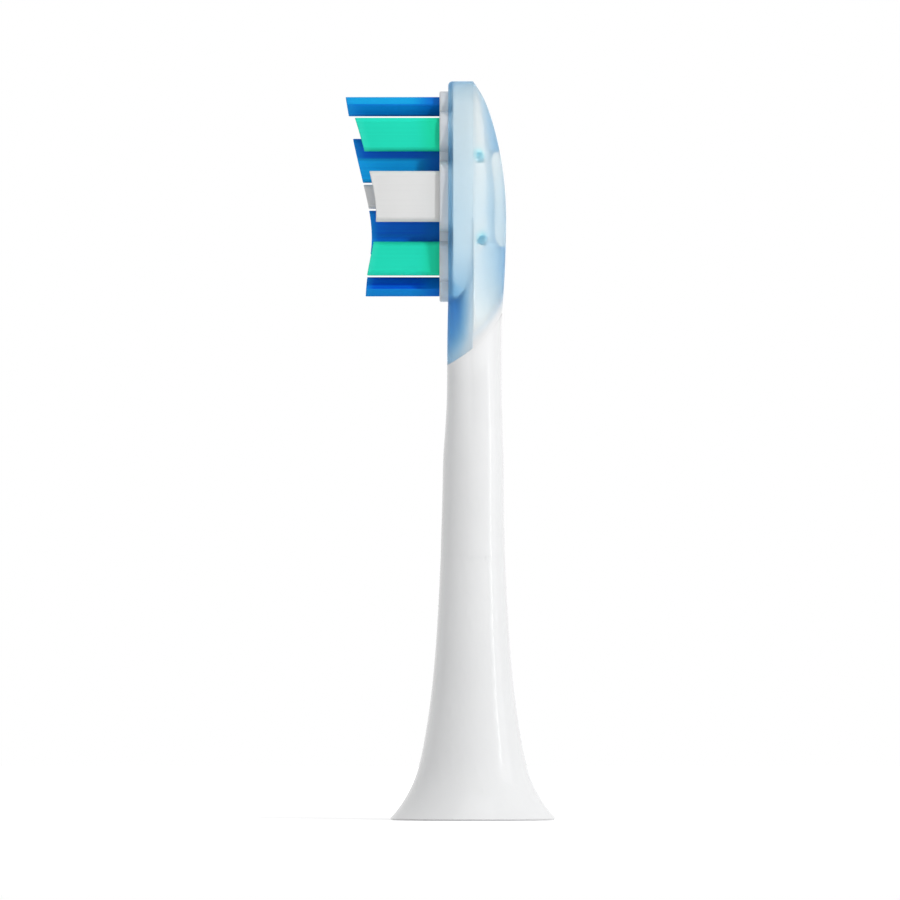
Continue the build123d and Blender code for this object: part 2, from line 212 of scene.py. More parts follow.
def skin_grid(z):
    """Depths and places across on the skin, for rows of heights with one height a place of the ring."""
    zone, share = (np.broadcast_to(values, z.shape).ravel() for values in RING.T)
    x, y = head_skin(zone, share, z.ravel())
    return x.reshape(z.shape), y.reshape(z.shape)


def ramp_height(x):
    """Height of the slanted line at a depth: the lower arc of the circle through its three points."""
    (x1, z1), (x2, z2), (x3, z3) = RAMP
    rows = 2 * np.array([(x2 - x1, z2 - z1), (x3 - x1, z3 - z1)])
    sums = np.array([x2**2 - x1**2 + z2**2 - z1**2, x3**2 - x1**2 + z3**2 - z1**2])
    cx, cz = np.linalg.solve(rows, sums)
    return cz - np.sqrt((x1 - cx) ** 2 + (z1 - cz) ** 2 - (x - cx) ** 2)


def ramp_feet():
    """Height at which each place of the ring meets the slanted line.

    From a first guess, the line's height at the skin's depth is taken as the next guess, until it settles.
    """
    zone, share = RING.T
    foot = np.full(len(RING), RAMP_GUESS)
    for _ in range(RAMP_ROUNDS):
        foot = ramp_height(head_skin(zone, share, foot)[0])
    return foot


RAMP_FEET = ramp_feet()


# Meshes: metres within which doubles are merged, and degrees from which an edge is sharp
MERGE_DISTANCE = 2e-7
CREASE = 24


def whole_ring(half):
    """Rows of half a section, closed into whole rings by their mirror images."""
    return np.concatenate([half, half[:, -2:0:-1] * (1, -1, 1)], axis=1)


def grid_faces(rows, columns, wrap):
    """Quads between the rows of a grid of points, closed round the columns where wrap is true."""
    row = columns * np.arange(rows - 1)[:, None]
    column = np.arange(columns if wrap else columns - 1)[None, :]
    after = (column + 1) % columns
    corners = (row + column, row + after, row + columns + after, row + columns + column)
    return np.stack(np.broadcast_arrays(*corners), axis=-1).reshape(-1, 4)


def piece(name, points, faces, material, closed=False):
    """A smooth piece of one material, from points in millimetres.

    A closed skin has its doubles merged, its faces turned outwards and its creases kept sharp.
    """
    mesh = bpy.data.meshes.new(name)
    mesh.from_pydata((points.reshape(-1, 3) * MM).tolist(), [], faces)
    if closed:
        work = bmesh.new()
        work.from_mesh(mesh)
        bmesh.ops.remove_doubles(work, verts=work.verts, dist=MERGE_DISTANCE)
        bmesh.ops.recalc_face_normals(work, faces=work.faces)
        work.to_mesh(mesh)
        work.free()
    mesh.polygons.foreach_set("use_smooth", np.ones(len(mesh.polygons), bool))
    if closed:
        mesh.set_sharp_from_angle(angle=math.radians(CREASE))
    mesh.materials.append(material)
    made = bpy.data.objects.new(name, mesh)
    bpy.context.scene.collection.objects.link(made)
    return made


def keep_numbers(mesh, title, values):
    """Keeps a number for each point of a mesh, which its material reads."""
    layer = mesh.attributes.new(title, "FLOAT", "POINT")
    layer.data.foreach_set("value", values.astype(np.float32))


# Materials: how close together the drifts of colour, of gloss and the grain are, in waves a metre
COLOUR_DRIFT, GLOSS_DRIFT, GRAIN = 90.0, 420.0, 5200.0
GRAIN_DETAIL, GRAIN_HEIGHT = 2.0, 2e-6
COAT_ROUGHNESS = 0.04
NOISE_ROUGHNESS = 0.55
# Values of a noise between which nearly all of it lies
NOISE_LOW, NOISE_HIGH = 0.3, 0.7


def new_material(name):
    """A node material with its tree, Principled shader and output."""
    made = bpy.data.materials.new(name)
    made.use_nodes = True
    tree = made.node_tree
    shader = next(n for n in tree.nodes if n.type == "BSDF_PRINCIPLED")
    output = next(n for n in tree.nodes if n.type == "OUTPUT_MATERIAL")
    return made, tree, shader, output


def feed(tree, node, inputs):
    """Gives a node its inputs: each is another node's output, or else a plain value."""
    for key, value in inputs.items():
        if isinstance(value, bpy.types.NodeSocket):
            tree.links.new(value, node.inputs[key])
        else:
            node.inputs[key].default_value = value


def add_node(tree, kind, inputs=None, **settings):
    """A node with its settings and inputs."""
    made = tree.nodes.new(kind)
    for key, value in settings.items():
        setattr(made, key, value)
    feed(tree, made, inputs or {})
    return made


def object_place(tree):
    """The object's own coordinates."""
    return add_node(tree, "ShaderNodeTexCoord").outputs["Object"]


def object_axes(tree):
    """The object's own coordinates, one by one."""
    axes = add_node(tree, "ShaderNodeSeparateXYZ", {"Vector": object_place(tree)})
    return axes.outputs["X"], axes.outputs["Y"], axes.outputs["Z"]


def object_noise(tree, scale, detail=3.0, stretch=(1, 1, 1)):
    """Noise over the object's own coordinates, stretched along its axes."""
    turned = add_node(tree, "ShaderNodeMapping", {"Vector": object_place(tree), "Scale": stretch})
    inputs = {"Vector": turned.outputs["Vector"], "Scale": scale, "Detail": detail}
    noise = add_node(tree, "ShaderNodeTexNoise", {**inputs, "Roughness": NOISE_ROUGHNESS})
    return noise.outputs["Fac"]


def kept_number(tree, title):
    """The number that the mesh keeps for each point under a title."""
    return add_node(tree, "ShaderNodeAttribute", attribute_name=title).outputs["Fac"]


def worked_out(tree, operation, first, second):
    """Number worked out from two others."""
    return add_node(tree, "ShaderNodeMath", {0: first, 1: second}, operation=operation).outputs["Value"]


def moved_place(tree, operation, *places):
    """Place worked out from one or two others, axis by axis."""
    made = add_node(tree, "ShaderNodeVectorMath", dict(enumerate(places)), operation=operation)
    return made.outputs["Vector"]


def length_of(tree, place):
    """Distance of a place from the origin."""
    return add_node(tree, "ShaderNodeVectorMath", {0: place}, operation="LENGTH").outputs["Value"]


def even_range(tree, source, start, stop, low, high, kind="LINEAR"):
    """Number that goes evenly from low to high as a value goes from start to stop."""
    ends = {"Value": source, "From Min": start, "From Max": stop, "To Min": low, "To Max": high}
    return add_node(tree, "ShaderNodeMapRange", ends, interpolation_type=kind).outputs["Result"]


def smooth_range(tree, source, start, stop, low, high):
    """Number that goes smoothly from low to high as a value goes from start to stop."""
    return even_range(tree, source, start, stop, low, high, "SMOOTHSTEP")


def noise_range(tree, noise, low, high):
    """Number that a noise moves from low to high."""
    return even_range(tree, noise, NOISE_LOW, NOISE_HIGH, low, high)


def colour_range(tree, source, low, high, start=NOISE_LOW, stop=NOISE_HIGH):
    """Colour between two ends, as a value goes from start to stop."""
    made = add_node(tree, "ShaderNodeValToRGB", {"Fac": source})
    for element, position, colour in zip(made.color_ramp.elements, (start, stop), (low, high)):
        element.position = position
        element.color = (*colour, 1)
    return made.outputs["Color"]


def mixed_colour(tree, share, first, second):
    """Colour that goes from the first to the second as a share goes from 0 to 1."""
    return add_node(tree, "ShaderNodeMix", {0: share, 6: first, 7: second}, data_type="RGBA").outputs[2]


def moulded_plastic(name, low, high, smooth, rough, grain, coat=0.0):
    """Moulded plastic: slow drifts of colour and gloss, and a fine grain."""
    made, tree, shader, _ = new_material(name)
    fine = object_noise(tree, GRAIN, GRAIN_DETAIL)
    bump = add_node(tree, "ShaderNodeBump", {"Height": fine, "Strength": grain, "Distance": GRAIN_HEIGHT})
    feed(tree, shader, {
        "Base Color": colour_range(tree, object_noise(tree, COLOUR_DRIFT), low, high),
        "Roughness": noise_range(tree, object_noise(tree, GLOSS_DRIFT), smooth, rough),
        "Normal": bump.outputs["Normal"],
        "Coat Weight": coat,
        "Coat Roughness": COAT_ROUGHNESS,
    })
    return made


# Shell: its gloss, how far it bends light, and the light that its thickness lets through
SHELL_DRIFT, SHELL_SMOOTH, SHELL_ROUGH = 700.0, 0.52, 0.6
SHELL_IOR = 1.34
SHELL_DEEP, SHELL_DENSITY = (0.24, 0.66, 0.91), 430.0
# Front lip: its colour, partly the deeper blue of the thicker shell and partly painted shade where the lip
# faces away from the light, and the skin's; where it starts, and its width below and above its step
LIP_TINT_AND_SHADE, SKIN_TINT = (0.4, 0.63, 0.76), (0.975, 0.95, 0.9)
LIP_X, LIP_WIDE, LIP_NARROW = -2.25, 2.0, 0.35
STEP_LOW, STEP_HIGH = 53.4, 54.9
# Fading of the lip towards its lower end, between two heights
FADE_LOW, FADE_HIGH, LIP_FADED = 46.5, 49.5, 0.6
# Thinned edge behind the side's crease: how far up from the line it reaches, and where the front begins
FEATHER_LOW, FEATHER_HIGH = 0.1, 2.3
FRONT_X, BEHIND_X = -0.2, 0.1
# Its whites at the line and above it, and how clear it is where the second is reached and where it is left
NECK_WHITE, EDGE_PALE = (0.785, 0.79, 0.795), (0.92, 0.96, 0.985)
PALE_REACHED, PALE_LEFT = 0.4, 0.5


def frosted_shell(name):
    """Soft frosted shell: rough skin, and blue from what its thickness takes out of the light.

    The skin is a deeper blue along its front lip, partly for the thicker shell there and partly as painted
    shade where the lip faces away from the light. The deep part widens below the bristles and fades
    towards the slanted line. Behind the side's crease the shell thins out to the white of the neck.
    """
    made, tree, shader, output = new_material(name)
    x, _, z = object_axes(tree)
    feathered = smooth_range(tree, kept_number(tree, "rise"), FEATHER_LOW, FEATHER_HIGH, 0.0, 1.0)
    front = smooth_range(tree, x, FRONT_X * MM, BEHIND_X * MM, 1.0, 0.0)
    clear = worked_out(tree, "MAXIMUM", feathered, front)
    width = smooth_range(tree, z, STEP_LOW * MM, STEP_HIGH * MM, LIP_WIDE * MM, LIP_NARROW * MM)
    lip = worked_out(tree, "DIVIDE", worked_out(tree, "SUBTRACT", x, LIP_X * MM), width)
    faded = smooth_range(tree, z, FADE_LOW * MM, FADE_HIGH * MM, LIP_FADED, 0.0)
    # Deeper blue of the lip: partly the thicker shell's colour, partly painted shade away from the light
    tint_and_shade = colour_range(tree, worked_out(tree, "ADD", lip, faded), LIP_TINT_AND_SHADE, SKIN_TINT, 0.0, 1.0)
    edge = colour_range(tree, clear, NECK_WHITE, EDGE_PALE, 0.0, PALE_REACHED)
    feed(tree, shader, {
        "Base Color": mixed_colour(tree, smooth_range(tree, clear, PALE_LEFT, 1.0, 0.0, 1.0), edge, tint_and_shade),
        "Roughness": noise_range(tree, object_noise(tree, SHELL_DRIFT), SHELL_SMOOTH, SHELL_ROUGH),
        "Transmission Weight": clear,
        "IOR": SHELL_IOR,
    })
    deep = {"Color": (*SHELL_DEEP, 1), "Density": SHELL_DENSITY}
    feed(tree, output, {"Volume": add_node(tree, "ShaderNodeVolumeAbsorption", deep).outputs["Volume"]})
    return made


# Filaments: shares of the length where the painted shade at the root ends and the tip's colour begins,
# and how far it goes
ROOT_SHADE_FROM, ROOT_SHADE_TO = 0.08, 0.36
TIP_FROM, TIP_PALE = 0.9, 0.6
NYLON_DRIFT, NYLON_SMOOTH, NYLON_ROUGH, NYLON_SPECULAR = 1500.0, 0.42, 0.52, 0.1


def filament_nylon(name, low, high, root, tip):
    """Drawn nylon: own shade with painted light and shade per filament, painted shade at the root, paler tip.
    """
    made, tree, shader, _ = new_material(name)
    along = kept_number(tree, "along")
    tone_and_painted_shade = colour_range(tree, kept_number(tree, "strand_tone_and_painted_shade"), low, high, 0.0, 1.0)
    above_root_shade = smooth_range(tree, along, ROOT_SHADE_FROM, ROOT_SHADE_TO, 0.0, 1.0)
    # Painted shade towards each filament's root, in the root colour
    tone_and_painted_shade = mixed_colour(tree, above_root_shade, (*root, 1), tone_and_painted_shade)
    at_tip = even_range(tree, along, TIP_FROM, 1.0, 0.0, TIP_PALE)
    feed(tree, shader, {
        "Base Color": mixed_colour(tree, at_tip, tone_and_painted_shade, (*tip, 1)),
        "Roughness": noise_range(tree, object_noise(tree, NYLON_DRIFT), NYLON_SMOOTH, NYLON_ROUGH),
        "Specular IOR Level": NYLON_SPECULAR,
    })
    return made


# Steel: closeness, detail and stretch of its brushing
BRUSHING, BRUSH_DETAIL, BRUSH_STRETCH = 900.0, 4.0, (6, 6, 0.2)


def rolled_steel(name, low, high, smooth, rough):
    """Rolled stainless strip: fine brushing along the strip."""
    made, tree, shader, _ = new_material(name)
    brush = object_noise(tree, BRUSHING, BRUSH_DETAIL, BRUSH_STRETCH)
    feed(tree, shader, {
        "Base Color": colour_range(tree, brush, low, high),
        "Roughness": noise_range(tree, brush, smooth, rough),
        "Metallic": 1.0,
    })
    return made


# Pits in the head's core: depth, place across and height from the field's middle, and the reach of their tint
PIT_X, PIT_Y, PIT_Z = 0.75, 4.6, 4.2
PIT_FULL, PIT_REACH = 0.3, 1.1
# A depth beyond the bristles
FRONT_REACH = 20.0


def tint_pits(material, colour):
    """Tints the four pits in the head's core, by the distance from their middles.

    The place is counted from beyond the bristles, so that only its left and right, and its upper and
    lower, halves are folded together.
    """
    tree = material.node_tree
    shader = next(n for n in tree.nodes if n.type == "BSDF_PRINCIPLED")
    plain = shader.inputs["Base Color"].links[0].from_socket
    start = (-FRONT_REACH * MM, 0, FIELD_Z * MM)
    middle = ((FRONT_REACH + PIT_X) * MM, PIT_Y * MM, PIT_Z * MM)
    folded = moved_place(tree, "ABSOLUTE", moved_place(tree, "SUBTRACT", object_place(tree), start))
    away = length_of(tree, moved_place(tree, "SUBTRACT", folded, middle))
    near = smooth_range(tree, away, PIT_FULL * MM, PIT_REACH * MM, 1.0, 0.0)
    feed(tree, shader, {"Base Color": mixed_colour(tree, near, plain, (*colour, 1))})


stem_white = moulded_plastic(
    "stem_white", (0.775, 0.78, 0.785), (0.805, 0.81, 0.815), smooth=0.1, rough=0.16, grain=0.05, coat=0.25
)
carrier_white = moulded_plastic(
    "carrier_white", (0.6, 0.62, 0.65), (0.64, 0.66, 0.69), smooth=0.34, rough=0.46, grain=0.2
)
socket_plastic = moulded_plastic(
    "socket_plastic", (0.72, 0.73, 0.74), (0.78, 0.79, 0.8), smooth=0.3, rough=0.42, grain=0.2
)
tint_pits(stem_white, (0.4, 0.74, 0.79))
shell_blue = frosted_shell("shell_blue")
# Nylon colours: low to high spans each filament's own shade with painted shade and light, root is painted
# shade
bristles = {
    "bristle_blue": filament_nylon(
        "bristle_blue",
        low=(0.001, 0.06, 0.8),
        high=(0.005, 0.42, 0.86),
        root=(0.001, 0.18, 0.72),
        tip=(0.01, 0.36, 0.88),
    ),
    "bristle_green": filament_nylon(
        "bristle_green",
        low=(0.014, 0.68, 0.44),
        high=(0.019, 0.85, 0.6),
        root=(0.013, 0.74, 0.42),
        tip=(0.05, 0.85, 0.62),
    ),
    "bristle_white": filament_nylon(
        "bristle_white",
        low=(0.77, 0.775, 0.77),
        high=(0.86, 0.86, 0.855),
        root=(0.8, 0.805, 0.8),
        tip=(0.85, 0.85, 0.85),
    ),
}
clip_steel = rolled_steel("clip_steel", (0.42, 0.43, 0.44), (0.62, 0.63, 0.64), smooth=0.22, rough=0.38)

for node, material in (
    ("stem", stem_white),
    ("tuft_carrier", carrier_white),
    ("drive_socket", socket_plastic),
    ("shaft_clip", clip_steel),
):
    nodes[node].data.materials.clear()
    nodes[node].data.materials.append(material)


# Skins over the head and the neck: rows of points, and how far their hidden ends are drawn in and moved
LOWER_ROWS, CROWN_ROWS, NECK_ROWS = 60, 70, 110
DRAWN_IN = (0.85, 0.85, 1)
CAP_DEPTH = 0.15
NECK_WALL = 0.3


def shell_points():
    """Rows of rings from the slanted line up to the tip, and below them a cap inside the white neck.

    Each place of the ring runs up its own line, from its crossing with the slanted line to the
    widest level in even steps, then to the tip in steps that shorten as a sine does.
    """
    low = np.linspace(0, 1, LOWER_ROWS)[:, None]
    high = np.sin(np.linspace(0, math.pi / 2, CROWN_ROWS))[1:, None]
    lower = RAMP_FEET + low * (WIDEST_Z - RAMP_FEET)
    crown = np.broadcast_to(WIDEST_Z + high * (HEAD_TOP - WIDEST_Z), (len(high), len(RING)))
    z = np.concatenate([lower, crown])
    ring = whole_ring(np.stack([*skin_grid(z), z], axis=-1))
    inner = ring[:1] * DRAWN_IN
    inner[..., 2] = ramp_height(inner[..., 0]) - CAP_DEPTH
    centre = np.zeros_like(inner)
    centre[..., 2] = ramp_height(np.zeros(1)) - CAP_DEPTH
    return np.concatenate([centre, inner, ring])


grid = shell_points()
head_shell = piece("head_shell", grid, grid_faces(*grid.shape[:2], True).tolist(), shell_blue, closed=True)
places = np.empty(3 * len(head_shell.data.vertices), np.float32)
head_shell.data.vertices.foreach_get("co", places)
places = places.reshape(-1, 3) / MM
keep_numbers(head_shell.data, "rise", places[:, 2] - ramp_height(places[:, 0]))
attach(head_shell, "root")
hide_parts("head_overmould")


# Neck skin: its foot, how far it stands proud, and the level below which it sinks in, with the slope of that
NECK_FOOT, NECK_PROUD = 25.0, 0.025
SINK_TOP, SINK_SLOPE = 28.0, 0.015
# Shank: its radius at the top, and how fast it widens downwards, by the height and by the height's square
SHANK_RADIUS, SHANK_SLOPE, SHANK_SWEEP = 3.016, 0.0201, 0.00084
# Change from the shank to the neck's own sections, of which the lowest stands for all below it
LOWEST_SECTION = NECK_SECTIONS[1, 0]
CHANGE_LENGTH = 7.0
# Soft swells of the back and of the sides: size, height and reach
SWELL, SWELL_Z, SWELL_DOWN, SWELL_UP = 0.11, 37.5, 5.0, 3.2
LIFT, LIFT_Z, LIFT_REACH = 0.045, 42.4, 1.8


def neck_points():
    """Closed skin from the shank up to the slanted line, with an inside wall within the solid neck.

    Its outside goes over from the round shank to the neck's own section by a smooth share of the height,
    a hair proud of the solid. The shank widens downwards by a slope and a square. A soft swell fills out
    the back, as a bell curve of the height times the square of the cosine, and a smaller one the sides, with
    the sine. The foot sinks into the shank.
    """
    z = NECK_FOOT + np.linspace(0, 1, NECK_ROWS)[:, None] * (RAMP_FEET - NECK_FOOT)
    x, y = skin_grid(np.maximum(z, LOWEST_SECTION))
    angle, section = np.arctan2(y, x), np.hypot(x, y)
    below = SHANK_TOP - z
    shank = SHANK_RADIUS + SHANK_SLOPE * below + SHANK_SWEEP * below * np.abs(below)
    change = np.clip(-below / CHANGE_LENGTH, 0, 1)
    change = change * change * (3 - 2 * change)
    reach = np.where(z < SWELL_Z, SWELL_DOWN, SWELL_UP)
    swell = SWELL * np.exp(-(((z - SWELL_Z) / reach) ** 2)) * np.maximum(np.cos(angle), 0) ** 2
    lift = LIFT * np.exp(-(((z - LIFT_Z) / LIFT_REACH) ** 2)) * np.sin(angle) ** 2
    proud = NECK_PROUD - SINK_SLOPE * np.maximum(SINK_TOP - z, 0)
    radius = shank * (1 - change) + section * change + swell + lift + proud
    outside = whole_ring(np.stack([radius * np.cos(angle), radius * np.sin(angle), z], axis=-1))
    top = outside[-1:] * DRAWN_IN
    top[..., 2] = ramp_height(top[..., 0]) - NECK_WALL
    bottom = outside[:1] * DRAWN_IN
    bottom[..., 2] += NECK_WALL
    return np.concatenate([bottom, outside, top, bottom])


grid = neck_points()
neck_skin = piece("neck_skin", grid, grid_faces(*grid.shape[:2], True).tolist(), stem_white, closed=True)
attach(neck_skin, "root")


# Tufts: the plate's front, and the two trimmed contours as heights from the field's middle and lengths
PLATE_FRONT = 3.39
OUTER_TRIM = np.array([(-10.6, 7.7), (-8.0, 7.36), (-1.7, 6.44), (2.6, 7.13), (8.0, 8.6), (10.6, 9.5)])
MIDDLE_TRIM = np.array([(-10.6, 7.54), (-8.2, 7.35), (-4.6, 6.9), (1.4, 7.77), (5.9, 8.8), (10.6, 9.62)])
# Filaments: thickness, distance apart, gap inside the outer row as a share of that, and places of a fan
FILAMENT = 0.165
PITCH = 0.14
ROW_GAP = 0.8
FAN_PLACES = 12
# How unlike each other the filaments are: roots, lengths and lean, and how deep the roots stand in the plate
ROOT_STRAY, TIP_STRAY, LEAN_STRAY = 0.002, 0.02, 0.004
ROOT_DEPTH = 0.3
# Rings of one filament: share of its length, share of its radius, and how far it faces the tip
FILAMENT_RINGS = np.array([
    (0.0, 1.0, 0.0),
    (0.5, 1.0, 0.0),
    (0.988, 1.0, 0.1),
    (0.997, 0.75, 0.7),
    (1.0, 0.28, 0.95),
])
# Sides of a filament, and how far the outer ones are shaded as the bundle's own side
SIDES = 6
BUNDLE_SHADE = 0.9
# Shade of a filament, how far filaments differ at random, and how much painted light the outer ones get
# where they face away from the field's middle, and painted shade where they face it
SHADE, SHADE_STRAY, PAINTED_SHADE_BY_FACING = 0.57, 0.07, 0.7
# Painted shade and light on the outer blue filaments by height from the field's middle: painted shade in
# the gaps, where the neighbouring bundles' shadows fall, and painted light in the open
BLUE_PAINTED_SHADES = np.array([
    (-9.45, 0.65),
    (-9.35, 0.14),
    (-7.0, 0.14),
    (-6.5, 0.32),
    (0.0, 0.32),
    (1.0, 0.86),
    (3.85, 0.86),
    (3.95, 0.28),
    (6.5, 0.28),
    (7.0, 0.58),
    (9.35, 0.58),
    (9.45, 1.0),
])
# Shade of the inner blue filaments, without painted shade
BLUE_INSIDE = 0.69


def rounded_outline(corners, radius):
    """Even places just inside a convex outline with rounded corners, and the ways that they face.

    The corners run anticlockwise. Each is replaced by a fan of directions about its fillet's middle,
    and the closed line through all the fans is walked in even steps.
    """
    edge = np.roll(corners, -1, axis=0) - corners
    edge = edge / np.linalg.norm(edge, axis=1)[:, None]
    normal = np.column_stack([edge[:, 1], -edge[:, 0]])
    before = np.roll(normal, 1, axis=0)
    middle = corners - radius * (before + normal) / (1 + (before * normal).sum(axis=1))[:, None]
    turn = np.linspace(0, 1, FAN_PLACES)[None, :, None]
    fan = before[:, None] * (1 - turn) + normal[:, None] * turn
    fan = fan / np.linalg.norm(fan, axis=-1, keepdims=True)
    track = (middle[:, None] + (radius - FILAMENT / 2) * fan).reshape(-1, 2)
    track = np.concatenate([track, track[:1]])
    facing = np.concatenate([fan.reshape(-1, 2), fan[0, :1]])
    walked = chords(track)
    count = int(round(walked[-1] / PITCH))
    at = np.arange(count) * walked[-1] / count
    places = np.column_stack([np.interp(at, walked, values) for values in track.T])
    ways = np.column_stack([np.interp(at, walked, values) for values in facing.T])
    return places, ways, middle


def filament_roots(corners, radius, chance):
    """Roots of a bundle: one row round its outline, and staggered rows inside; with the way each faces.

    A root is inside where its distance from the closed line through the fillets' middles, counted as
    negative within that line, leaves room for the outer row.
    """
    ring, facing, middle = rounded_outline(corners, radius)
    low, high = corners.min(axis=0), corners.max(axis=0)
    across = np.arange(low[0], high[0], PITCH)
    up = np.arange(low[1], high[1], PITCH * math.sqrt(3) / 2)
    column, row = np.meshgrid(across, up, indexing="xy")
    column = column + PITCH / 2 * (np.arange(len(up)) % 2)[:, None]
    inside = np.stack([column, row], axis=-1).reshape(-1, 2)
    step = np.roll(middle, -1, axis=0) - middle
    from_middle = inside[:, None] - middle
    share = np.clip((from_middle * step).sum(axis=-1) / (step**2).sum(axis=-1), 0, 1)
    away = np.linalg.norm(from_middle - share[..., None] * step, axis=-1).min(axis=1)
    out = (step[:, 1] * from_middle[..., 0] - step[:, 0] * from_middle[..., 1]).max(axis=1) > 0
    inside = inside[np.where(out, away, -away) <= radius - FILAMENT / 2 - ROW_GAP * PITCH]
    roots = np.concatenate([ring, inside])
    facing = np.concatenate([facing, np.zeros_like(inside)])
    return roots + chance.uniform(-ROOT_STRAY, ROOT_STRAY, roots.shape), facing


def filament_points(roots, facing, trim, chance):
    """Six-sided rods from inside the plate to the trimmed contour, each with a rounded end.

    A rod leans by the square of the share of its length. The rods of the outer row are shaded mostly as
    the bundle's own side, as close-set filaments look.
    """
    count = len(roots)
    tip = PLATE_FRONT + spline(trim[:, 0], trim[:, 1], roots[:, 1] - FIELD_Z)
    tip = tip + chance.uniform(-TIP_STRAY, 0.0, count)
    start = np.full(count, PLATE_FRONT - ROOT_DEPTH)
    lean = chance.normal(0, LEAN_STRAY, (count, 2))
    share, girth, forward = FILAMENT_RINGS.T
    along = start[:, None] + (tip - start)[:, None] * share
    middle = roots[:, None] + lean[:, None] * (share**2)[None, :, None]
    angle = np.arange(SIDES) * 2 * math.pi / SIDES
    round_way = np.column_stack([np.cos(angle), np.sin(angle)])
    points = np.empty((count, len(share), SIDES, 3))
    points[..., 0] = -along[:, :, None]
    points[..., 1:] = middle[:, :, None] + girth[None, :, None, None] * FILAMENT / 2 * round_way
    outer = BUNDLE_SHADE * np.linalg.norm(facing, axis=1)[:, None, None]
    way = outer * facing[:, None] + (1 - outer) * round_way
    way = way / np.linalg.norm(way, axis=-1, keepdims=True)
    normals = np.empty_like(points)
    normals[..., 0] = -forward[None, :, None]
    normals[..., 1:] = np.sqrt(1 - forward**2)[None, :, None, None] * way[:, None]
    return points, normals


def tuft(node, slot, corners, radius, trim, seed):
    """One bundle of filaments in the place of its solid.

    Rods of the outer row that face the middle of the field stand in the gaps and get painted shade, and those
    that face away get painted light, on top of a shade of each at random. The blue ones take their painted
    shade and light by their height.
    """
    chance = np.random.default_rng(seed)
    roots, facing = filament_roots(corners + (0, FIELD_Z), radius, chance)
    points, normals = filament_points(roots, facing, trim, chance)
    count, rings = points.shape[:2]
    first = np.arange(count)[:, None] * rings * SIDES
    sides = (first[:, :, None] + grid_faces(rings, SIDES, True)[None]).reshape(-1, 4)
    ends = first + (rings - 1) * SIDES + np.arange(SIDES)[None, :]
    faces = sides[:, ::-1].tolist() + ends[:, ::-1].tolist()
    bundle = piece(node.replace("tuft", "bristles"), points, faces, bristles[slot])
    # Painted light on outer rods facing away from the field's middle, painted shade on those facing it
    outward = facing[:, 1] * np.sign(corners[:, 1].mean())
    unlike = chance.uniform(-SHADE_STRAY, SHADE_STRAY, count)
    tone_and_painted_shade = SHADE + unlike + PAINTED_SHADE_BY_FACING * outward
    # Outer blue rods take their painted shade and light by height instead
    if slot == "bristle_blue":
        painted_shade_level = np.interp(roots[:, 1] - FIELD_Z, *BLUE_PAINTED_SHADES.T)
        tone_and_painted_shade = BLUE_INSIDE + unlike + np.linalg.norm(facing, axis=1) * (painted_shade_level - BLUE_INSIDE)
    # Kept on the mesh: each filament's own shade at random together with its painted shade and light
    keep_numbers(bundle.data, "strand_tone_and_painted_shade", np.repeat(np.clip(tone_and_painted_shade, 0, 1), rings * SIDES))
    keep_numbers(bundle.data, "along", np.tile(np.repeat(FILAMENT_RINGS[:, 0], SIDES), count))
    bundle.data.normals_split_custom_set_from_vertices(normals.reshape(-1, 3).tolist())
    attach(bundle, "root")
    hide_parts(node)


def flipped(span):
    """The same span below the middle of the field."""
    return (-span[1], -span[0])


def box_corners(middle, width, span):
    """Corners of an upright outline, anticlockwise, as places across and heights from the field's middle."""
    low, high = span
    left, right = middle - width / 2, middle + width / 2
    return np.array([(left, low), (right, low), (right, high), (left, high)])


# Side and middle tufts: place across, width, span of heights, and corner as a share of the smaller size
GREEN_Y, WHITE_Y, MIDDLE_Y = 2.55, 3.625, 0.82
GREEN_WIDTH, WHITE_WIDTH, MIDDLE_WIDTH = 1.5, 1.65, 1.28
GREEN_SPAN, WHITE_SPAN = (4.57, 8.0), (-2.59, 2.59)
MIDDLE_WHITE_SPAN, MIDDLE_BLUE_SPAN = (-1.22, 1.22), (1.41, 5.88)
ROUNDNESS = 0.33
SIDE_TUFTS = (
    ("green_top", "bristle_green", GREEN_Y, GREEN_WIDTH, GREEN_SPAN, OUTER_TRIM),
    ("green_bottom", "bristle_green", GREEN_Y, GREEN_WIDTH, flipped(GREEN_SPAN), OUTER_TRIM),
    ("white", "bristle_white", WHITE_Y, WHITE_WIDTH, WHITE_SPAN, OUTER_TRIM),
    ("mid_top", "bristle_blue", MIDDLE_Y, MIDDLE_WIDTH, MIDDLE_BLUE_SPAN, MIDDLE_TRIM),
    ("mid_white", "bristle_white", MIDDLE_Y, MIDDLE_WIDTH, MIDDLE_WHITE_SPAN, MIDDLE_TRIM),
    ("mid_bottom", "bristle_blue", MIDDLE_Y, MIDDLE_WIDTH, flipped(MIDDLE_BLUE_SPAN), MIDDLE_TRIM),
)
# End tuft: half widths and heights of its inner end, its side points and its outer end
END_HALF = np.array([(0.9, 8.17), (1.6, 9.4), (0.9, 10.13)])
END_CORNER = 0.25

end_corners = np.concatenate([END_HALF, END_HALF[::-1] * (-1, 1)])
tuft("tuft_end_top", "bristle_blue", end_corners, END_CORNER, MIDDLE_TRIM, 1)
tuft("tuft_end_bottom", "bristle_blue", -end_corners, END_CORNER, MIDDLE_TRIM, 2)
for ten, (side, hand) in enumerate((("left", -1), ("right", 1)), start=1):
    for index, (place, slot, middle, width, span, trim) in enumerate(SIDE_TUFTS):
        corners = box_corners(hand * middle, width, span)
        corner = ROUNDNESS * min(width, span[1] - span[0])
        tuft(f"tuft_{place}_{side}", slot, corners, corner, trim, 10 * ten + index)


# Camera: far off at the side and level with the middle, so that it sees almost straight lines
VIEW_WIDTH, VIEW_X, VIEW_Z, VIEW_DISTANCE = 91.44, -2.32, 37.54, 3000.0
SENSOR = 36.0
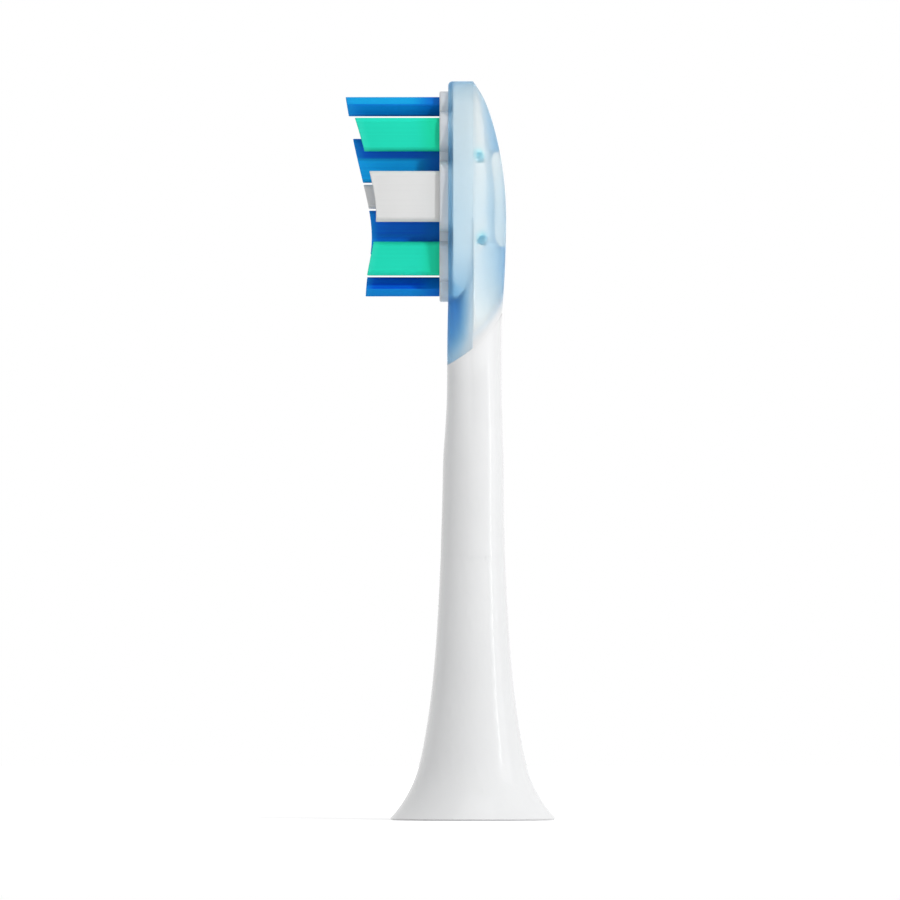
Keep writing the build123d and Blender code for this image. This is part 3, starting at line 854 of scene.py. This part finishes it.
# How far it sees, in metres
SIGHT = 20.0
camera = bpy.data.objects.new("camera", bpy.data.cameras.new("camera"))
camera.location = (VIEW_X * MM, -VIEW_DISTANCE * MM, VIEW_Z * MM)
camera.rotation_euler = (math.pi / 2, 0, 0)
camera.data.sensor_width = SENSOR
camera.data.lens = SENSOR * VIEW_DISTANCE / VIEW_WIDTH
camera.data.clip_end = SIGHT
bpy.context.scene.collection.objects.link(camera)
bpy.context.scene.camera = camera


# Floor: half its size, places along a side, level, tones, and how it fades to white, by the distance
FLOOR_HALF, FLOOR_PLACES, FLOOR_Z = 500, 21, -0.05
FLOOR_DRIFT, FLOOR_ROUGHNESS = 6.0, 0.9
FLOOR_LOW, FLOOR_HIGH = (0.86, 0.86, 0.86), (0.88, 0.88, 0.88)
SHADOW_NEAR, SHADOW_FAR, NEAR_WHITE = 20.0, 120.0, 0.36


def seen_directly(tree):
    """1 where the camera, a gleam or a clear piece shows a surface, and 0 where it only lights others."""
    path = add_node(tree, "ShaderNodeLightPath")
    seen = worked_out(tree, "MAXIMUM", path.outputs["Is Camera Ray"], path.outputs["Is Glossy Ray"])
    return worked_out(tree, "MAXIMUM", seen, path.outputs["Is Transmission Ray"])


def white_floor(name):
    """A pale floor that takes the shadow near the object and fades to the white surroundings further off."""
    made, tree, shader, output = new_material(name)
    feed(tree, shader, {
        "Base Color": colour_range(tree, object_noise(tree, FLOOR_DRIFT), FLOOR_LOW, FLOOR_HIGH),
        "Roughness": FLOOR_ROUGHNESS,
        "Specular IOR Level": 0.0,
    })
    far = length_of(tree, object_place(tree))
    fade = smooth_range(tree, far, SHADOW_NEAR * MM, SHADOW_FAR * MM, NEAR_WHITE, 1.0)
    strength = worked_out(tree, "MULTIPLY", seen_directly(tree), fade)
    white = add_node(tree, "ShaderNodeEmission", {"Color": (1, 1, 1, 1), "Strength": strength})
    both = add_node(tree, "ShaderNodeAddShader", {0: shader.outputs["BSDF"], 1: white.outputs["Emission"]})
    feed(tree, output, {"Surface": both.outputs["Shader"]})
    return made


floor_side = np.linspace(-FLOOR_HALF, FLOOR_HALF, FLOOR_PLACES)
floor_x, floor_y = np.meshgrid(floor_side, floor_side, indexing="xy")
grid = np.stack([floor_x, floor_y, np.full_like(floor_x, FLOOR_Z)], axis=-1)
piece("floor", grid, grid_faces(*grid.shape[:2], False).tolist(), white_floor("floor_white"))


# Surroundings: their light from straight below and from straight above
GLOW_BELOW, GLOW_ABOVE = 0.29, 0.67


def white_surroundings(name):
    """White all round where it is seen, with a light on the object that grows from below to above."""
    made = bpy.data.worlds.new(name)
    made.use_nodes = True
    tree = made.node_tree
    light = next(n for n in tree.nodes if n.type == "BACKGROUND")
    way = add_node(tree, "ShaderNodeTexCoord").outputs["Generated"]
    up = add_node(tree, "ShaderNodeSeparateXYZ", {"Vector": way}).outputs["Z"]
    glow = even_range(tree, up, -1.0, 1.0, GLOW_BELOW, GLOW_ABOVE)
    strength = even_range(tree, seen_directly(tree), 0.0, 1.0, glow, 1.0)
    feed(tree, light, {"Color": (1, 1, 1, 1), "Strength": strength})
    return made


bpy.context.scene.world = white_surroundings("surroundings")

# Lamps: the height that they face
LAMP_AIM = 40.0


def lamp(name, bearing, height, distance, size, power, gleams=True):
    """An area lamp that faces the middle of the object, at a bearing to the right of the camera.

    The bearing and height are in degrees, the distance and size in metres and the power in watts.
    """
    turn, rise = math.radians(bearing), math.radians(height)
    made = bpy.data.objects.new(name, bpy.data.lights.new(name, "AREA"))
    made.data.shape = "RECTANGLE"
    made.data.size, made.data.size_y = size
    made.data.energy = power
    away = np.array((math.sin(turn) * math.cos(rise), -math.cos(turn) * math.cos(rise), math.sin(rise)))
    made.location = np.array((0, 0, LAMP_AIM * MM)) + away * distance
    made.rotation_euler = (math.pi / 2 - rise, 0, turn)
    made.visible_camera = False
    made.visible_glossy = gleams
    bpy.context.scene.collection.objects.link(made)


lamp("key", bearing=43, height=26, distance=0.6, size=(0.05, 0.05), power=1.28, gleams=False)
lamp("right_fill", bearing=75, height=10, distance=0.6, size=(0.35, 0.5), power=0.37)
lamp("streak", bearing=68, height=2, distance=0.7, size=(0.03, 0.5), power=0.22)
lamp("top", bearing=20, height=75, distance=0.6, size=(0.4, 0.4), power=0.28)

bpy.context.scene.view_settings.view_transform = "Standard"
